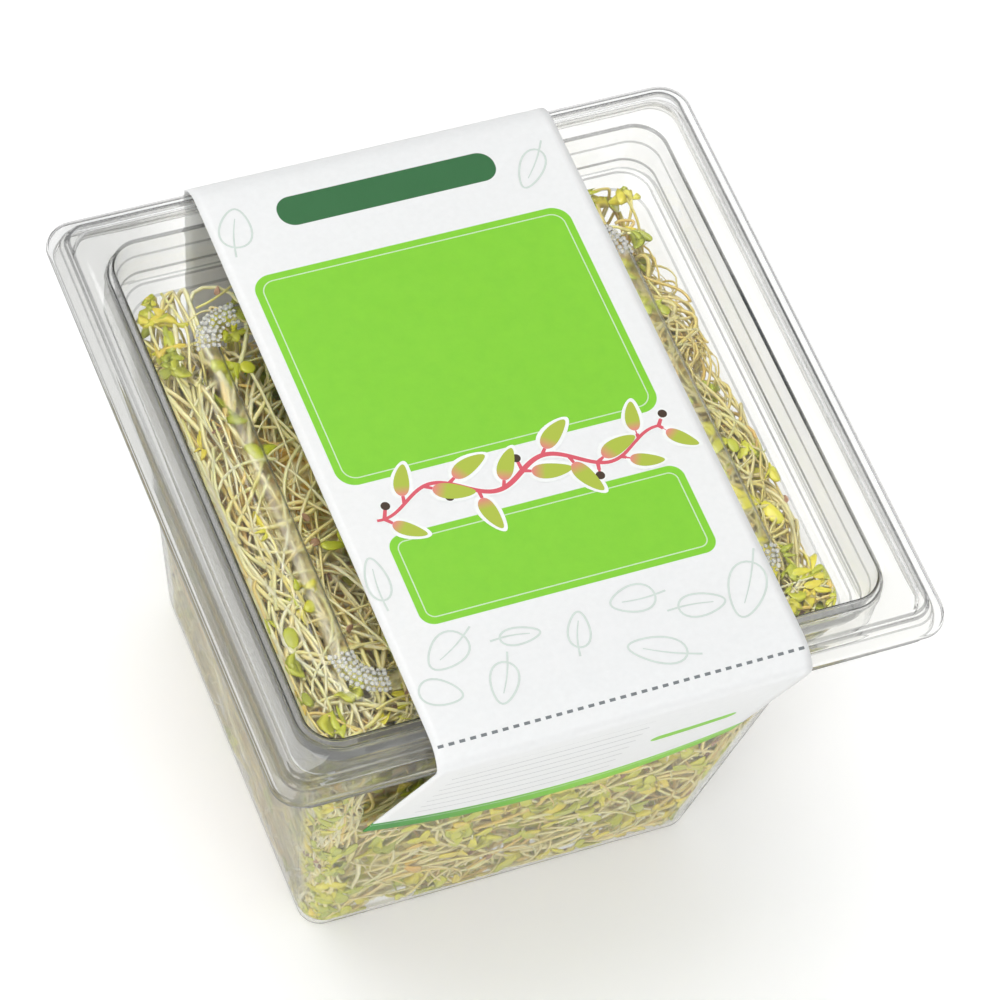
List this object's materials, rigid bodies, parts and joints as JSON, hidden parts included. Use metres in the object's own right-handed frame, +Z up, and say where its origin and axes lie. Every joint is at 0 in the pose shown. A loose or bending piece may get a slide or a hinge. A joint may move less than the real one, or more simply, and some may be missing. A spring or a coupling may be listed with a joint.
{
  "type": "tub of mixed sprouts",
  "caption": "Clear tapered square plastic tub with a push-on recessed lid and a printed paper sleeve over it, filled with tangled young sprouts.",
  "frame": {"origin": "middle of the tub's flat underside", "axes": "+Z up out of the lid, the sleeve's printed flap hangs down the -Y wall"},
  "size_m": [0.14, 0.1416, 0.1107],
  "materials": {
    "tub_plastic": "clear, glossy, thin sheet",
    "lid_plastic": "clear, glossy, thin sheet",
    "paper": "smooth satin card, printed in light green",
    "sprouts": "fresh, moist, slightly translucent"
  },
  "bodies": {
    "root": {"tub": "tub_plastic", "lid": "lid_plastic", "sleeve": "paper", "sprouts_front": "sprouts", "sprouts_right": "sprouts", "sprouts_back": "sprouts", "sprouts_left": "sprouts"}
  },
  "joints": []
}
